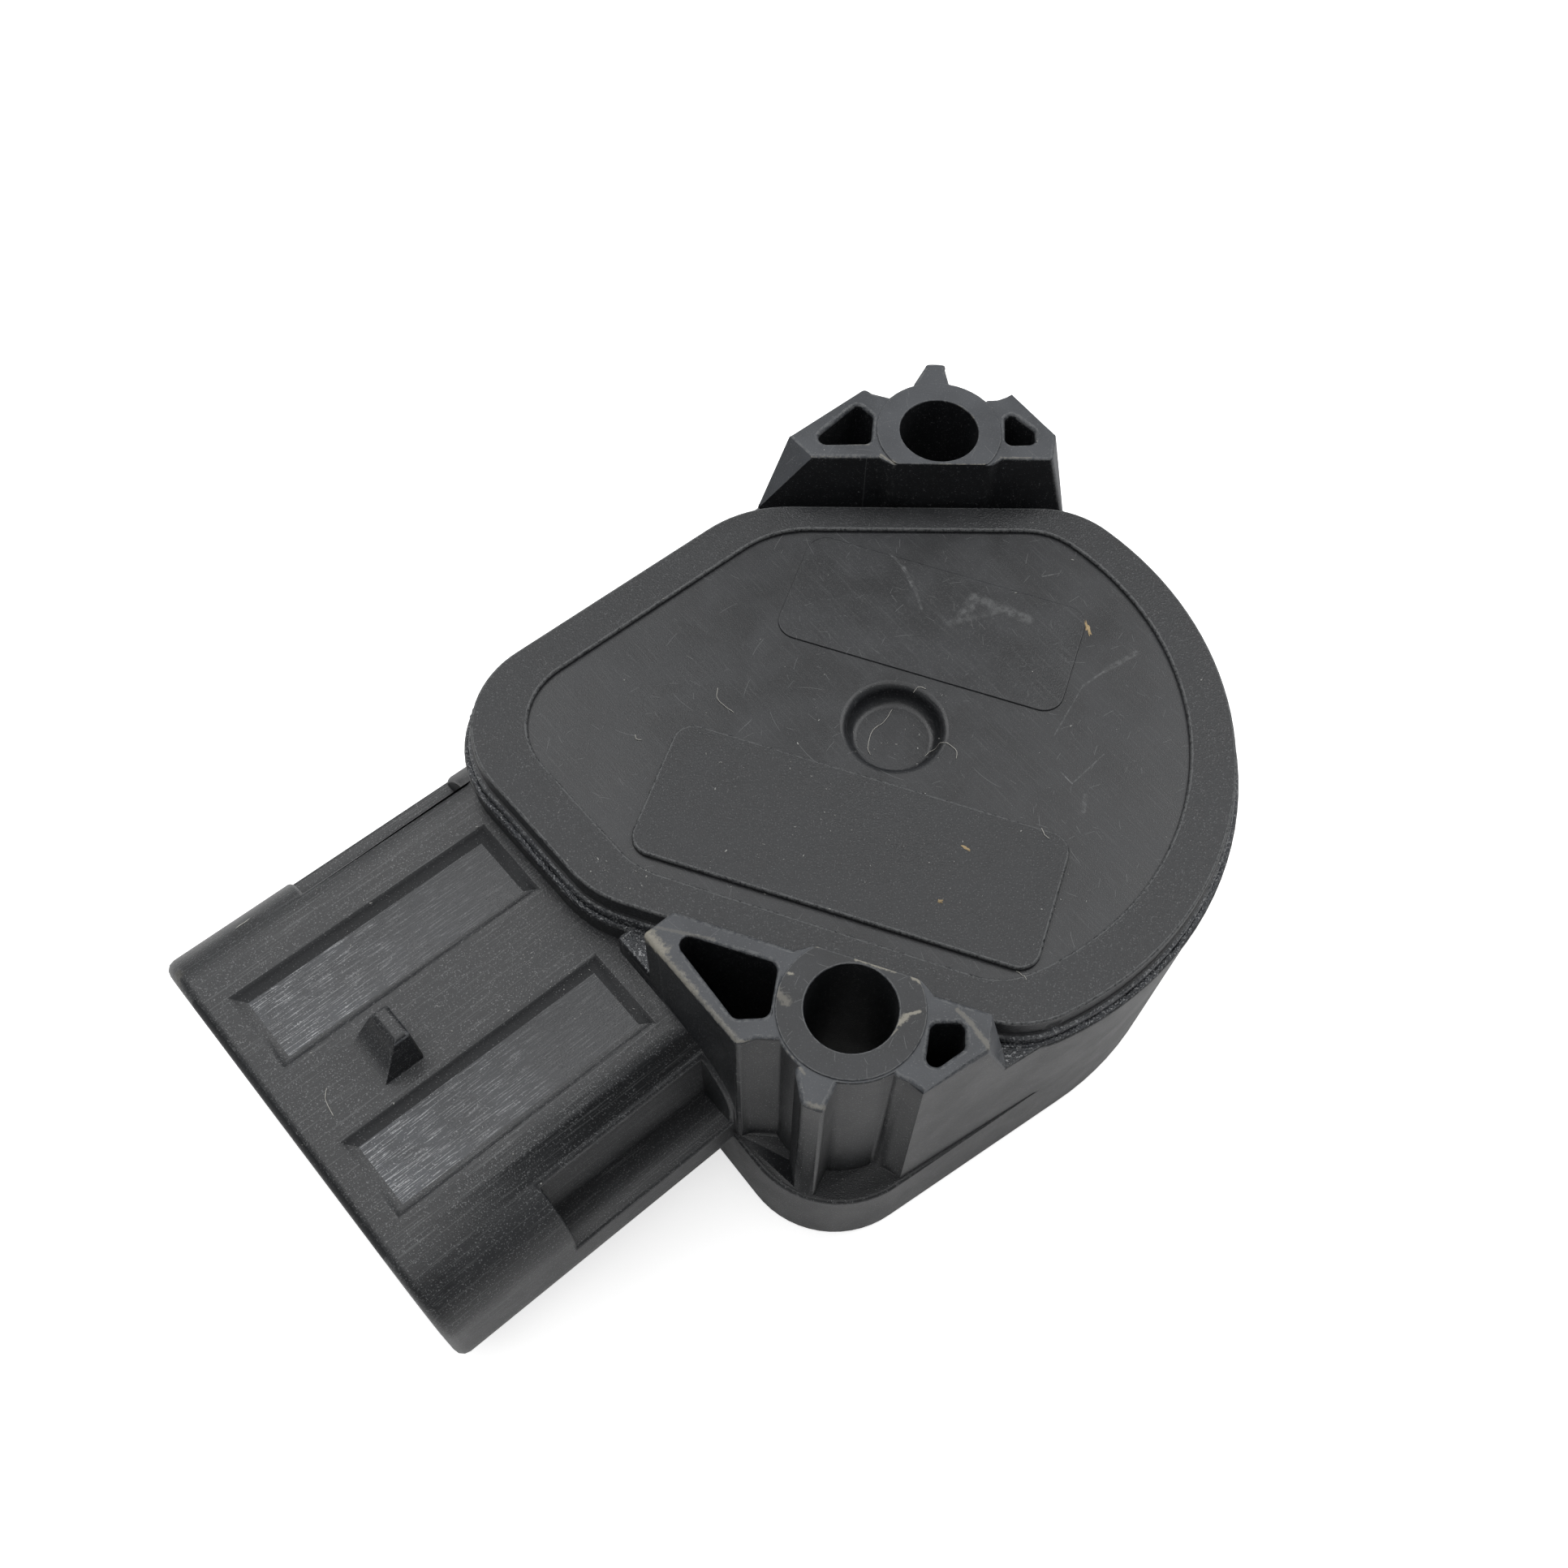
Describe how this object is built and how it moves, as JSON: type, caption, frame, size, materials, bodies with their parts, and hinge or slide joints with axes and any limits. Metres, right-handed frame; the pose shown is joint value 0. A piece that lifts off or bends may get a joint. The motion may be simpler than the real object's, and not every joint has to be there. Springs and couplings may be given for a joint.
{
  "type": "throttle position sensor",
  "caption": "Black moulded throttle position sensor with bolt ears, a welded lid, a flat plug socket and a spring-returned rotor.",
  "frame": {"origin": "on the rotor axis, in the plane of the mounting face, midway between the two screw holes", "axes": "+Z along the rotor axis, from the mounting face towards the lid; Y through the two screw holes, the socket leaving towards -X and -Y"},
  "size_m": [0.083, 0.0864, 0.0299],
  "materials": {
    "housing": "satin moulded black, scuffed",
    "lid": "satin moulded black",
    "rotor": "natural moulded",
    "seal": "matt",
    "spring_steel": "drawn wire",
    "contact": "bright",
    "board": "lacquered laminate",
    "track": "conductive ink",
    "terminal": "tin plate",
    "solder": "bright solder",
    "sealant": "cured sealant"
  },
  "bodies": {
    "base": {"housing": "housing", "lid": "lid", "return_spring": "spring_steel", "element_board": "board", "track_signal_outer": "track", "track_collector_outer": "track", "track_signal_inner": "track", "track_collector_inner": "track", "terminal_1": "terminal", "terminal_2": "terminal", "terminal_3": "terminal", "terminal_4": "terminal", "terminal_5": "terminal", "terminal_6": "terminal", "solder_1": "solder", "solder_2": "solder", "solder_3": "solder", "solder_4": "solder", "solder_5": "solder", "solder_6": "solder", "terminal_sealant": "sealant"},
    "rotor_group": {"rotor": "rotor", "rotor_seal": "seal", "spring_washer": "spring_steel", "wiper_outer": "contact", "wiper_inner": "contact"}
  },
  "joints": [
    {"name": "rotor_turn", "type": "hinge", "parent": "base", "child": "rotor_group", "pos_m": [0, 0, 0.009], "axis": [0, 0, 1], "range_deg": [0, 84], "stiffness_Nm_per_rad": 0.02, "springref_deg": -34.38, "deforming": ["return_spring"]}
  ]
}
